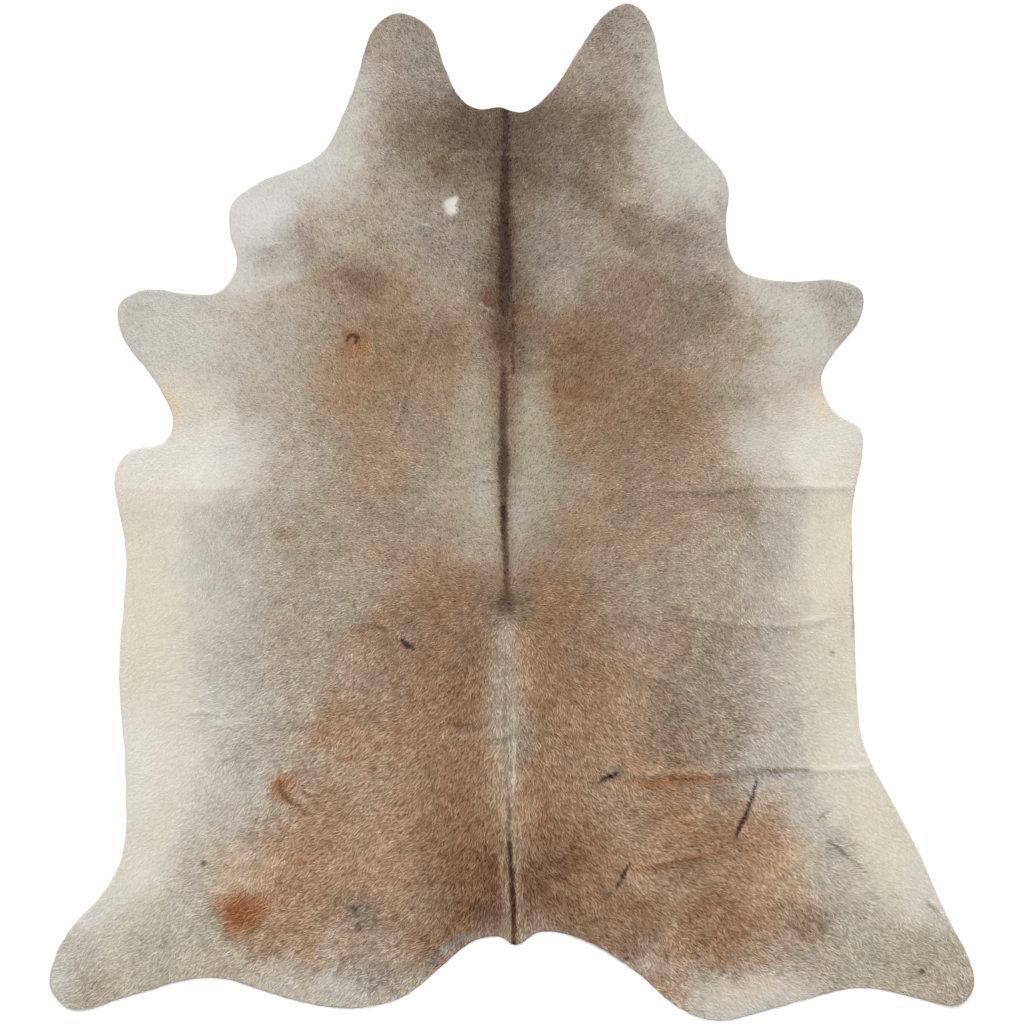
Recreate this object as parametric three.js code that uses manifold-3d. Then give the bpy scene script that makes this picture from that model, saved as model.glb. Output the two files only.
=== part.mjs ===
// A hair-on cowhide rug: one whole tanned hide, lying flat on a floor with its hair side up.
// Millimetres, +Z up. The neck end points to +Y, the tail end to -Y, and the spine runs close to X = 0.
// The origin is on the floor, under the middle of the hide's outline.

import * as THREE from "three";
import { mergeVertices } from "three/addons/utils/BufferGeometryUtils.js";
import Module from "manifold-3d";

// Driving dimensions
const HIDE_LENGTH = 2200; // from the tip of the longer neck flap to the lowest point of the rump
const LEATHER_THICKNESS = 2.0;
const NECK_PILE = 2.2; // height of the flattened hair at the neck end
const RUMP_PILE = 3.8; // the hair is longer over the haunches
const SPINE_RISE = 0.8; // leather and hair are thicker along the back
const SPINE_REACH = 110;
const UNEVENNESS = 0.35; // how far the pile swells and sinks from place to place
const UNEVEN_PITCH = 190;
const CUTTER_REACH = 100; // the outline's wall reaches this far above and below the floor

// Fineness of the faceted surface
const CELL = 45;
const RIM_STEPS_PER_PLACE = 4;

// The outline, walked from the throat down one flank to the tail and back up the other.
// Each row is one place on the animal's skin, found on both flanks.
const THROAT = { x: -31, y: 876 };
const TAIL_TIP = { x: 5, y: -940 };
const OUTLINE = [
  { place: "throat edge", leftX: -68, leftY: 869, rightX: 23, rightY: 863 },
  { place: "neck flap root, inside", leftX: -109, leftY: 891, rightX: 81, rightY: 908 },
  { place: "neck flap, inner edge", leftX: -148, leftY: 967, rightX: 141, rightY: 995 },
  { place: "neck flap, inner corner", leftX: -176, leftY: 1044, rightX: 191, rightY: 1068 },
  { place: "neck flap tip", leftX: -243, leftY: 1079, rightX: 249, rightY: 1100 },
  { place: "neck flap, outer corner", leftX: -299, leftY: 1047, rightX: 295, rightY: 1062 },
  { place: "neck flap, outer edge", leftX: -336, leftY: 939, rightX: 321, rightY: 949 },
  { place: "neck flap root, outside", leftX: -366, leftY: 859, rightX: 342, rightY: 861 },
  { place: "neck bend", leftX: -418, leftY: 770, rightX: 411, rightY: 783 },
  { place: "shoulder, front", leftX: -548, leftY: 712, rightX: 453, rightY: 736 },
  { place: "shoulder point", leftX: -608, leftY: 664, rightX: 468, rightY: 699 },
  { place: "shoulder edge", leftX: -610, leftY: 602, rightX: 461, rightY: 612 },
  { place: "shoulder notch", leftX: -595, leftY: 535, rightX: 485, rightY: 530 },
  { place: "foreleg root", leftX: -632, leftY: 476, rightX: 530, rightY: 507 },
  { place: "foreleg, front edge", leftX: -694, leftY: 470, rightX: 602, rightY: 498 },
  { place: "foreleg, front corner", leftX: -790, leftY: 481, rightX: 692, rightY: 502 },
  { place: "foreleg toe", leftX: -852, leftY: 448, rightX: 755, rightY: 478 },
  { place: "foreleg, rear corner", leftX: -839, leftY: 373, rightX: 748, rightY: 412 },
  { place: "foreleg, rear edge", leftX: -772, leftY: 282, rightX: 697, rightY: 347 },
  { place: "elbow notch", leftX: -733, leftY: 198, rightX: 666, rightY: 288 },
  { place: "elbow turn", leftX: -753, leftY: 150, rightX: 697, rightY: 213 },
  { place: "brisket lead", leftX: -826, leftY: 133, rightX: 751, rightY: 183 },
  { place: "brisket corner", leftX: -859, leftY: 83, rightX: 757, rightY: 131 },
  { place: "brisket edge", leftX: -848, leftY: -10, rightX: 735, rightY: 25 },
  { place: "belly, front", leftX: -835, leftY: -96, rightX: 733, rightY: -79 },
  { place: "belly, middle", leftX: -850, leftY: -347, rightX: 742, rightY: -329 },
  { place: "flank", leftX: -837, leftY: -563, rightX: 757, rightY: -502 },
  { place: "stifle", leftX: -841, leftY: -731, rightX: 815, rightY: -615 },
  { place: "thigh edge", leftX: -882, leftY: -818, rightX: 882, rightY: -744 },
  { place: "hock", leftX: -954, leftY: -897, rightX: 939, rightY: -874 },
  { place: "hind leg edge", leftX: -990, leftY: -964, rightX: 986, rightY: -964 },
  { place: "hind toe", leftX: -999, leftY: -1027, rightX: 997, rightY: -1025 },
  { place: "hind heel", leftX: -949, leftY: -1075, rightX: 962, rightY: -1066 },
  { place: "hind leg, rear edge", leftX: -820, leftY: -1044, rightX: 865, rightY: -1049 },
  { place: "hind leg arch", leftX: -653, leftY: -1005, rightX: 753, rightY: -1027 },
  { place: "buttock lead", leftX: -487, leftY: -1051, rightX: 602, rightY: -1062 },
  { place: "buttock", leftX: -375, leftY: -1072, rightX: 442, rightY: -1100 },
  { place: "buttock, inside", leftX: -245, leftY: -1053, rightX: 357, rightY: -1070 },
  { place: "rump edge", leftX: -154, leftY: -982, rightX: 254, rightY: -984 },
  { place: "rump edge, inside", leftX: -90, leftY: -930, rightX: 148, rightY: -923 },
  { place: "tail root", leftX: -27, leftY: -917, rightX: 55, rightY: -908 },
];

// Soft ridges where the hide was folded for storage and hasn't quite lain down again.
const FOLDS = [
  { place: "front fold, right", fromX: 277, fromY: 50, toX: 735, toY: 56, reach: 80, rise: 4.5 },
  { place: "front fold, left", fromX: -850, fromY: 53, toX: -420, toY: 48, reach: 80, rise: 2.5 },
  { place: "rear fold, right", fromX: 190, fromY: -571, toX: 775, toY: -552, reach: 80, rise: 4.5 },
  { place: "rear fold, left", fromX: -707, fromY: -433, toX: -570, toY: -438, reach: 70, rise: 2.0 },
  { place: "flank wrinkle", fromX: 349, fromY: -222, toX: 690, toY: -240, reach: 70, rise: 2.0 },
  { place: "haunch wrinkle", fromX: 262, fromY: -770, toX: 452, toY: -733, reach: 70, rise: 2.5 },
];

// Places near the rim that curl a little off the floor.
const LIFTS = [
  { place: "left neck flap", x: -245, y: 1060, reach: 130, rise: 4.5 },
  { place: "right neck flap", x: 252, y: 1085, reach: 130, rise: 6.0 },
  { place: "left shoulder", x: -620, y: 640, reach: 110, rise: 4.0 },
  { place: "left foreleg", x: -860, y: 430, reach: 120, rise: 4.5 },
  { place: "right foreleg", x: 765, y: 455, reach: 120, rise: 5.5 },
  { place: "left belly", x: -865, y: -330, reach: 170, rise: 5.0 },
  { place: "right belly", x: 750, y: -150, reach: 170, rise: 7.0 },
  { place: "right thigh", x: 925, y: -845, reach: 120, rise: 5.0 },
  { place: "left hind toe", x: -1000, y: -1045, reach: 130, rise: 6.0 },
  { place: "right hind toe", x: 1000, y: -1035, reach: 130, rise: 6.5 },
  { place: "rump arch", x: 190, y: -945, reach: 120, rise: 4.0 },
];

const RIM = rimPoints();
const RIM_BOX = new THREE.Box3().setFromPoints(RIM);
const SIZE_FACTOR = HIDE_LENGTH / (RIM_BOX.max.y - RIM_BOX.min.y);

const wasm = await Module();
wasm.setup();

// Points along a smooth closed curve through every place of the outline.
function rimPoints() {
  const leftSide = OUTLINE.map((row) => new THREE.Vector3(row.leftX, row.leftY, 0));
  const rightSide = OUTLINE.map((row) => new THREE.Vector3(row.rightX, row.rightY, 0)).reverse();
  const throat = new THREE.Vector3(THROAT.x, THROAT.y, 0);
  const tailTip = new THREE.Vector3(TAIL_TIP.x, TAIL_TIP.y, 0);
  const places = [throat, ...leftSide, tailTip, ...rightSide];
  const steps = places.length * RIM_STEPS_PER_PLACE;
  return new THREE.CatmullRomCurve3(places, true, "centripetal").getPoints(steps).slice(0, steps);
}

// One at the middle of a bump, falling smoothly to nothing at its reach.
function softBump(distance, reach) {
  if (distance >= reach) {
    return 0;
  }
  return 0.5 + 0.5 * Math.cos((Math.PI * distance) / reach);
}

function distanceToFold(x, y, fold) {
  const line = new THREE.Line3(
    new THREE.Vector3(fold.fromX, fold.fromY, 0),
    new THREE.Vector3(fold.toX, fold.toY, 0),
  );
  const here = new THREE.Vector3(x, y, 0);
  return line.closestPointToPoint(here, true, new THREE.Vector3()).distanceTo(here);
}

// Height of the underside above the floor. It is exactly nothing where the hide lies flat.
function undersideHeight(x, y) {
  let height = 0;
  for (const fold of FOLDS) {
    height += fold.rise * softBump(distanceToFold(x, y, fold), fold.reach);
  }
  for (const lift of LIFTS) {
    height += lift.rise * softBump(Math.hypot(x - lift.x, y - lift.y), lift.reach);
  }
  return height;
}

// Thickness of leather and flattened hair together.
function sheetThickness(x, y) {
  const towardsRump = THREE.MathUtils.smoothstep(-y, -HIDE_LENGTH / 4, HIDE_LENGTH / 3);
  const pile = THREE.MathUtils.lerp(NECK_PILE, RUMP_PILE, towardsRump);
  const spine = SPINE_RISE * softBump(Math.abs(x), SPINE_REACH);
  const swell = UNEVENNESS * Math.sin(x / UNEVEN_PITCH) * Math.cos((y + x / 3) / UNEVEN_PITCH);
  return LEATHER_THICKNESS + pile + spine + swell;
}

function toSolid(geometry) {
  geometry.deleteAttribute("normal");
  geometry.deleteAttribute("uv");
  const merged = mergeVertices(geometry, 1e-4);
  const vertProperties = new Float32Array(merged.attributes.position.array);
  const triVerts = new Uint32Array(merged.index.array);
  return new wasm.Manifold(new wasm.Mesh({ numProp: 3, vertProperties, triVerts }));
}

function toGeometry(solid) {
  const mesh = solid.getMesh();
  const geometry = new THREE.BufferGeometry();
  geometry.setAttribute("position", new THREE.BufferAttribute(mesh.vertProperties, 3));
  geometry.setIndex(new THREE.BufferAttribute(mesh.triVerts, 1));
  return geometry;
}

// A rectangular sheet larger than the hide, with the folds and lifts in both of its faces.
function creasedSheet() {
  const size = RIM_BOX.getSize(new THREE.Vector3()).addScalar(2 * CELL);
  const centre = RIM_BOX.getCenter(new THREE.Vector3());
  const columns = Math.round(size.x / CELL);
  const rows = Math.round(size.y / CELL);
  const sheet = new THREE.BoxGeometry(size.x, size.y, 1, columns, rows, 1);
  const position = sheet.attributes.position;
  for (let i = 0; i < position.count; i += 1) {
    const x = position.getX(i) + centre.x;
    const y = position.getY(i) + centre.y;
    const underside = undersideHeight(x, y);
    const isHairSide = position.getZ(i) > 0;
    position.setXYZ(i, x, y, isHairSide ? underside + sheetThickness(x, y) : underside);
  }
  return sheet;
}

// An upright wall that follows the outline, deep enough to cut the whole sheet.
function outlineCutter() {
  const shape = new THREE.Shape(RIM.map((point) => new THREE.Vector2(point.x, point.y)));
  const cutter = new THREE.ExtrudeGeometry(shape, { depth: 2 * CUTTER_REACH, bevelEnabled: false });
  return cutter.translate(0, 0, -CUTTER_REACH);
}

function hideMesh() {
  const solid = toSolid(creasedSheet()).intersect(toSolid(outlineCutter()));
  const geometry = toGeometry(solid);
  const centre = RIM_BOX.getCenter(new THREE.Vector3());
  geometry.translate(-centre.x, -centre.y, 0);
  geometry.scale(SIZE_FACTOR, SIZE_FACTOR, 1);
  geometry.computeVertexNormals();
  const hair = new THREE.MeshStandardMaterial({ color: "#a08a72", roughness: 0.85, metalness: 0 });
  const mesh = new THREE.Mesh(geometry, hair);
  mesh.name = "hide";
  return mesh;
}

const rug = new THREE.Group();
rug.add(hideMesh());

export default rug;
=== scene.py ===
import math
from typing import NamedTuple

import bpy
import numpy as np
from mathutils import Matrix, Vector
from mathutils.bvhtree import BVHTree
from mathutils.geometry import delaunay_2d_cdt


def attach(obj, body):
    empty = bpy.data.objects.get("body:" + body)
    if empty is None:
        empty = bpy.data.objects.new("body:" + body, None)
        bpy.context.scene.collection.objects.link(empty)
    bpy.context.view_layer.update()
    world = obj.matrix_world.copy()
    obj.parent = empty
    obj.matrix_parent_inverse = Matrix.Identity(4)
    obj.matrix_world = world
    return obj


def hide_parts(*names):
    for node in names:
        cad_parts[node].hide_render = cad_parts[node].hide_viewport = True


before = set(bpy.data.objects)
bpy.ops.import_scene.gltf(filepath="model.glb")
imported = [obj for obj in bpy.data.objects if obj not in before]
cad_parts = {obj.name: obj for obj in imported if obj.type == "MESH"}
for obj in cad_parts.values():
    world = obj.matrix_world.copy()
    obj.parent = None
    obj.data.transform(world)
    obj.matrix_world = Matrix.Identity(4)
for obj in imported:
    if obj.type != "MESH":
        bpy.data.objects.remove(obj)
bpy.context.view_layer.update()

# The tables are in millimetres, and Blender's objects in metres.
MM = 0.001

# The hide's sheet, in millimetres.
LEATHER_THICKNESS = 2.0
RIM_STEP = 4.0
RIM_SMOOTHING = 9.0
RIM_INSET = 1.6
RIM_WAVINESS = 0.8
RIM_WAVE_PITCH = 30
EDGE_BULGE = 0.45
RIPPLE = 0.3
RIPPLE_PITCH = 90
TOP_PITCH = 7.0
UNDERSIDE_PITCH = 22.0
SURVEY_PITCH = 15.0
SURVEY_CLEARANCE = 50
LOWEST_UNDERSIDE = 0.05
# Rounds that soften the survey, points on each side that smooth the rim, and a grid's row for its pitch.
SURVEY_ROUNDS = 3
RIM_WINDOW = 8
ROW_SPACING = 0.87
# A crease's trough: its depth for the ridge's height, and how many half widths beside the ridge it is.
TROUGH_DEPTH = 0.45
TROUGH_PLACE = 1.6

# The hair, in millimetres and degrees, at the neck end and at the rump end.
NECK_END_Y = 1100.0
RUMP_END_Y = -1000.0
NECK_ROW = 3.16
RUMP_ROW = 3.6
LONG_HAIR_FROM_Y = 0.0
LONG_HAIR_TO_Y = -650.0
NECK_HAIR = 6.5
RUMP_HAIR = 14.0
NECK_HAIR_WIDTH = 1.6
RUMP_HAIR_WIDTH = 1.9
NECK_SWING = 17
RUMP_SWING = 20
LOWEST_HAIR = 0.9
# How single hairs vary, and how much shorter a hair gets each time that it is found to pass the rim.
LENGTH_SPREAD = (0.75, 1.25)
WIDTH_SPREAD = (0.75, 1.2)
RISE_SPREAD = (0.55, 1.15)
HAIR_BEND = 0.09
LEAST_ROLL = 0.05
ROLL_BY_CONTRAST = 0.015
RIM_TRIM = 0.55
RIM_TRIMS = 4
# Tones of single hairs and of the skin, where 1 is as much lighter as the coat's contrast there.
DARK_SKEW = 0.3
CLUMPING = 0.6
CLUMP_PITCH = 14
DARKEST_TONE = -2.2
LIGHTEST_TONE = 1.8
# The skin between the hairs is painted darker than the coat, as painted shade.
SKIN_PAINTED_SHADE = -0.7
# A blade at its root, middle and tip: its share of the length, width and rise, and how much lighter it is.
BLADE_STATIONS = ((0.0, 0.7, -0.25, -1.0), (0.5, 1.0, 0.5, 0.0), (1.0, 0.0, 0.8, 0.5))
# The corners of a blade's three triangles, out of its five points.
BLADE_CORNERS = (0, 1, 3, 0, 3, 2, 2, 3, 4)
HAIR_SEED = 41
MOST_HAIRS_A_PIECE = 66000

# Where the parting of the hair runs, as y and x, and where the hair starts to turn.
WHORL_Y = -200.0
PARTING = [(-900, 5), (-500, -2), (WHORL_Y, -12), (700, -15)]
WHORL_REACH = 120
NECK_AHEAD = 250
NECK_BLEND = 260
# How the hair falls, in degrees from straight out to straight back, and how far the spine turns it.
RUMP_FALL = 34
RUMP_SPINE_FALL = 54
RUMP_SPINE_REACH = 110
RIB_FALL = 60
RIB_CURL = 0.19
NECK_FALL = 48
NECK_SPINE_FALL = 20
NECK_SPINE_REACH = 60
FALL_WANDER = 20
FALL_WANDER_PITCH = 90

# Light and camera.
FLOOR_SIZE = 80.0
FLOOR_WHITE = 0.82
CAMERA_LENS = 80.0
SENSOR_WIDTH = 36.0
VIEW_WIDTH = 2.2118
SUN_STRENGTH = 2.5
SUN_SOFTNESS = 35.0
SUN_TILT = 42.0
SKY_STRENGTH = 0.7
# By how light the coat looks, from 0 to 255: the share of that light that its hair reflects, and how much
# more vivid the hair's own colour is.
COAT_GAIN = [(85, 0.93), (117, 1.03), (150, 1.06), (177, 1.02), (194, 0.96), (210, 0.905), (222, 0.885)]
COAT_VIVIDNESS = [(100, 1.09), (150, 1.02), (190, 1.0)]
# By the same light: how mottled the coat is, and by how many levels its single hairs differ.
COAT_DEPTH = [(110, 0.8), (150, 1.0), (190, 0.6), (215, 0.25)]
HAIR_CONTRAST = [(95, 20), (150, 21), (180, 11), (212, 2)]
# By those levels, how high hairs rise. By how much redder than blue the coat is, how its warmth varies.
HAIR_LIFT = [(2, 0.55), (12, 1.0)]
BROWNNESS = [(14, 0.3), (44, 1.0)]
DARKEST_LEVEL = 12
LIGHTEST_COAT = 245
LIGHTEST_HAIR = 250
# Clouds: a grid's cells and its shift, how much finer and fainter each further octave is, and their strength.
CLOUD_CELLS = 160
CLOUD_SHIFT = 40
CLOUD_FINER = 2.1
CLOUD_FAINTER = 0.62
CLOUD_STRENGTH = 1.3
# Markings: how far out they are full and how far they fade, in half sizes, and the half widths in millimetres
# up to which they hold their place and from which they wander freely.
MARK_FULL = 0.25
MARK_FADE = 0.9
FIRM_WIDTH = 30
LOOSE_WIDTH = 120
LEAST_WANDER = 0.12
# How far the edges of markings and of lines wander, and how unevenly the coat is coloured.
EDGE_WANDER = 34
EDGE_WANDER_PITCH = 150
LINE_WANDER = 1.3
LINE_WANDER_PITCH = 18
MOTTLE = 4.2
MOTTLE_PITCH = 55
FINE_MOTTLE = 3.5
FINE_MOTTLE_PITCH = 12
WARMTH = 3.5
WARMTH_PITCH = 110
WARM_SHIFT = (1.0, -0.15, -0.8)
# How much the coat is painted lighter above a crease's ridge and darker below it, as painted light and shade.
CREASE_PAINTED_SHADING = 0.05

# Colours as they look in soft daylight, from 0 to 255.
PALETTE = {
    "pitch": (38, 28, 22),
    "mahogany": (78, 48, 30),
    "soot": (66, 50, 38),
    "bark": (92, 74, 60),
    "walnut": (114, 96, 80),
    "umber": (124, 94, 72),
    "russet": (143, 112, 88),
    "copper": (164, 134, 108),
    "fawn": (149, 126, 102),
    "sand": (166, 148, 126),
    "taupe": (152, 142, 130),
    "stone": (174, 163, 147),
    "ash": (184, 178, 168),
    "silver": (200, 196, 187),
    "pearl": (215, 212, 208),
    "cream": (217, 211, 193),
    "ivory": (225, 221, 212),
    "apricot": (228, 200, 162),
    "rust": (146, 96, 62),
    "ginger": (156, 116, 88),
    "slate": (118, 110, 100),
    "sedge": (174, 167, 149),
}
BASE_COLOUR = "stone"


class Mark(NamedTuple):
    """One soft marking of the coat: its middle and half sizes in millimetres, and its turn in degrees."""

    place: str
    x: float
    y: float
    wide: float
    long: float
    colour: str
    strength: float
    turn: float = 0.0


# Each row: place, x, y, half width, half length, colour, strength and turn.
MARKINGS = [Mark(*row) for row in [
    # the trunk, from the spine outwards
    ("trunk", 0, -100, 560, 950, "sand", 0.8),
    ("left ribs", -290, 190, 225, 330, "fawn", 0.5),
    ("left ribs, upper", -240, 340, 190, 150, "fawn", 0.8),
    ("left ribs, dark heart", -210, 360, 100, 80, "walnut", 0.3),
    ("right ribs", 230, 190, 330, 330, "fawn", 0.85),
    ("right ribs, warm", 270, 250, 170, 130, "russet", 0.45),
    ("left ribs, warm", -290, 300, 110, 150, "ginger", 0.2),
    ("right ribs, top", 140, 330, 150, 110, "umber", 0.5),
    ("left loin", -180, -300, 230, 240, "russet", 0.75),
    ("left loin, grey top", -340, -190, 120, 70, "stone", 0.5),
    ("right loin", 110, -340, 200, 330, "russet", 0.85),
    ("rump", -30, -640, 300, 380, "russet", 0.9),
    ("right rump, paler", 210, -510, 100, 210, "copper", 0.6),
    ("left flank, low", -330, -470, 200, 75, "russet", 0.55),
    ("left flank, rust", -345, -490, 130, 120, "copper", 0.75),
    ("left haunch", -380, -760, 330, 260, "copper", 0.95),
    ("left haunch, low", -470, -880, 230, 120, "copper", 0.9),
    ("left haunch, ginger", -520, -785, 70, 26, "ginger", 0.35, -18),
    ("right haunch", 360, -770, 330, 270, "copper", 0.95),
    ("right haunch, dark", 320, -610, 190, 110, "russet", 0.45),
    ("right thigh, ash", 550, -545, 150, 100, "ash", 0.75),
    ("right thigh, outer", 645, -670, 100, 150, "silver", 0.7),
    ("right haunch, outer", 480, -690, 90, 80, "russet", 0.4),
    ("right haunch, low", 490, -850, 210, 140, "copper", 1.0),
    ("right haunch, ginger", 455, -880, 125, 95, "russet", 0.95),
    ("left haunch, inner", -330, -890, 140, 110, "fawn", 0.6),
    ("beside the dorsal band", -80, -370, 60, 190, "umber", 0.5),
    ("right flank, fawn", 370, -400, 130, 210, "fawn", 0.85),
    ("left of the tail", -100, -800, 170, 220, "umber", 0.8),
    ("right of the tail", 95, -790, 160, 210, "umber", 0.85),
    ("left rump, paler", -235, -560, 48, 115, "copper", 0.6),
    ("right loin, dark", 325, -485, 85, 85, "umber", 0.4),
    ("right haunch, dark band", 375, -748, 150, 58, "umber", 0.42, 6),
    ("right rump, low", 255, -885, 112, 72, "umber", 0.6),
    ("right haunch, golden", 600, -775, 95, 75, "apricot", 0.22),
    ("right haunch, sandy", 525, -945, 62, 60, "sand", 0.45),
    ("dark above the scratch", 462, -602, 52, 36, "umber", 0.3),
    ("right thigh, olive", 655, -888, 52, 45, "walnut", 0.5),
    ("left haunch, golden", -590, -748, 110, 72, "apricot", 0.25),
    # the neck and shoulders
    ("withers", 0, 560, 260, 190, "taupe", 0.6),
    ("neck", 10, 800, 320, 175, "walnut", 1.0),
    ("neck, upper", -20, 890, 250, 120, "walnut", 0.85),
    ("left neck flap", -235, 990, 190, 170, "taupe", 0.7),
    ("left flap, pale edge", -362, 840, 75, 200, "silver", 0.9, -20),
    ("left cheek", -385, 770, 158, 130, "silver", 0.8),
    ("right neck flap", 245, 1010, 140, 170, "taupe", 0.8),
    ("right flap, pale edge", 355, 900, 95, 230, "silver", 1.0, 16),
    ("right cheek", 370, 790, 110, 150, "silver", 0.8),
    ("left shoulder", -575, 655, 135, 150, "pearl", 1.0),
    ("left shoulder, upper", -460, 725, 180, 85, "pearl", 0.75),
    ("left shoulder, lower", -570, 515, 130, 85, "pearl", 0.75),
    ("right shoulder", 450, 730, 130, 170, "silver", 1.0),
    ("right shoulder, lower", 480, 560, 110, 170, "silver", 0.85),
    ("right blade", 330, 450, 190, 150, "walnut", 0.5),
    ("right blade, upper", 370, 590, 150, 100, "taupe", 0.8),
    ("right blade, dark top", 230, 610, 120, 70, "walnut", 0.45),
    ("left blade", -330, 480, 150, 120, "fawn", 0.6),
    ("left light patch", -150, 600, 70, 130, "taupe", 0.8),
    ("right light patch", 100, 600, 85, 130, "taupe", 0.95),
    ("dark withers", -20, 430, 120, 330, "walnut", 0.6),
    ("left shoulder, lilac", -385, 672, 98, 66, "silver", 0.5),
    ("left shoulder, grey", -488, 572, 95, 78, "slate", 0.26),
    ("left blade, ash", -365, 565, 75, 62, "ash", 0.35),
    ("left shoulder, knot", -312, 496, 62, 48, "bark", 0.36),
    ("right neck, root", 170, 673, 60, 50, "walnut", 0.4),
    ("right of the neck, paler", 112, 788, 110, 105, "taupe", 0.3),
    # the legs
    ("left foreleg", -770, 390, 310, 240, "silver", 1.0),
    ("left foreleg, grey toe", -810, 425, 60, 30, "ash", 0.3),
    ("right foreleg", 690, 410, 260, 200, "silver", 0.95),
    ("right foreleg, grey toe", 710, 470, 110, 55, "taupe", 0.5),
    ("right foreleg, root", 490, 370, 110, 85, "sand", 0.85),
    ("left hind leg", -830, -960, 260, 200, "sedge", 0.9, -35),
    ("left hind leg, pale", -880, -810, 100, 200, "pearl", 1.0, -35),
    ("left hind toe", -990, -990, 60, 120, "silver", 1.0),
    ("left hock", -905, -970, 110, 75, "ash", 0.8),
    ("left buttock edge", -440, -1025, 190, 80, "ash", 0.95),
    ("left buttock, warm", -300, -1000, 80, 50, "taupe", 0.5),
    ("right hind leg", 860, -970, 240, 190, "sedge", 0.9, 30),
    ("right hind leg, pale", 900, -800, 110, 150, "pearl", 0.8, 25),
    ("right buttock edge", 520, -1060, 190, 85, "silver", 0.9),
    ("right buttock, inner", 340, -1030, 90, 60, "copper", 0.7),
    ("right foreleg, ash", 735, 396, 90, 62, "stone", 0.65),
    ("left buttock, sandy", -510, -1000, 120, 60, "apricot", 0.14),
    ("left buttock, grey end", -268, -1000, 60, 40, "slate", 0.3),
    # the belly edges
    ("left flank", -620, -330, 152, 520, "ash", 0.85),
    ("right flank", 608, -270, 132, 480, "ash", 0.8),
    ("right flank, taupe", 430, -430, 140, 240, "taupe", 0.5),
    ("left belly, grey", -760, -350, 208, 700, "silver", 0.9),
    ("left belly", -860, -330, 190, 720, "cream", 1.0),
    ("left thigh, white", -765, -530, 140, 210, "ivory", 1.0),
    ("right belly", 770, -230, 190, 640, "cream", 1.0),
    ("right thigh edge", 790, -660, 130, 280, "cream", 1.0, 25),
    ("left white zone", -730, 115, 200, 140, "ivory", 1.0),
    ("left ribs, grey edge", -490, 140, 90, 190, "ash", 0.45),
    ("right white zone", 645, 160, 182, 130, "ivory", 0.9),
    ("left armpit, cream", -705, 255, 98, 85, "cream", 0.8),
    ("left armpit", -745, 215, 42, 70, "apricot", 0.5),
    ("right armpit", 672, 236, 36, 55, "apricot", 0.35),
    ("right white zone, edge", 515, 155, 88, 90, "silver", 0.35),
    # Painted shade along the underside of the front fold, over the right ribs.
    ("right ribs, dark edge", 455, 24, 105, 42, "walnut", 0.22),
    ("left thigh, cream edge", -800, -760, 70, 85, "ivory", 0.5),
    ("left white zone, edge", -580, 140, 92, 110, "pearl", 0.34),
    ("right thigh, white", 738, -500, 76, 115, "ivory", 0.6),
    ("right thigh, pale root", 605, -578, 56, 40, "pearl", 0.4),
    ("right thigh, grey", 690, -720, 52, 46, "taupe", 0.35),
    ("right buttock, golden", 500, -1035, 120, 52, "apricot", 0.24),
    ("rust by the left flank", -478, -51, 34, 26, "copper", 0.45),
    # along the spine
    ("left ribs, pale band", -165, 55, 88, 105, "sedge", 0.5),
    ("right ribs, pale band", 140, 45, 62, 90, "sand", 0.7),
    ("left of the spine", -68, 130, 72, 285, "sedge", 0.82),
    ("left above the whorl", -100, -168, 100, 82, "russet", 0.65),
    ("right of the spine", 44, 125, 68, 255, "sedge", 0.8),
    ("left pale patch", -60, 35, 36, 80, "ash", 0.6),
    ("right pale patch", 12, -5, 28, 80, "ash", 0.65),
    ("whorl", -13, -190, 84, 60, "slate", 0.42),
    ("whorl, dark heart", -13, -200, 26, 42, "bark", 0.7),
    ("beside the tail", -30, -805, 150, 70, "mahogany", 0.35),
    # single spots
    ("rust spot", -580, -852, 72, 54, "rust", 0.88),
    ("rust spot, lower end", -603, -890, 34, 46, "rust", 0.65),
    ("ginger spot", -500, -592, 48, 40, "ginger", 0.85, 35),
    ("small ginger mark", -455, -752, 20, 12, "ginger", 0.6),
    ("ginger spot, heart", -504, -586, 16, 16, "rust", 0.8),
    ("grey spot", -325, -876, 50, 52, "slate", 0.5),
    ("grey spot, upper heart", -341, -863, 11, 15, "bark", 0.7),
    ("grey spot, lower heart", -331, -898, 10, 10, "bark", 0.7),
    ("rust, left withers", -50, 458, 30, 30, "umber", 0.8),
    ("rust, right withers", 28, 415, 42, 40, "russet", 0.5),
    ("russet by the withers", 128, 352, 34, 24, "umber", 0.45),
    ("rust round the scar", -338, 364, 42, 38, "rust", 0.42),
    ("small rust mark", -360, -535, 26, 8, "rust", 0.6),
    ("small mark, left rump", -202, -526, 6, 13, "bark", 0.6),
    ("dark spot, rump edge", 245, -958, 9, 7, "soot", 0.8),
    ("second dark spot", 336, -957, 7, 6, "soot", 0.7),
    ("smudge on the right rump", 222, -562, 26, 20, "slate", 0.6),
    ("faint grey spot", 208, -826, 15, 12, "slate", 0.5),
    ("dark spot, right flank", 690, -301, 8, 8, "bark", 0.8),
    ("dark spot, left thigh", -666, -761, 8, 8, "bark", 0.8),
    ("dark spot, right hind leg", 889, -993, 8, 8, "bark", 0.8),
]]


class Stroke(NamedTuple):
    """One line of the coat: its colour and strength, and rows of (x, y, half width) in millimetres."""

    place: str
    colour: str
    strength: float
    path: list
    soft: bool = False


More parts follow.
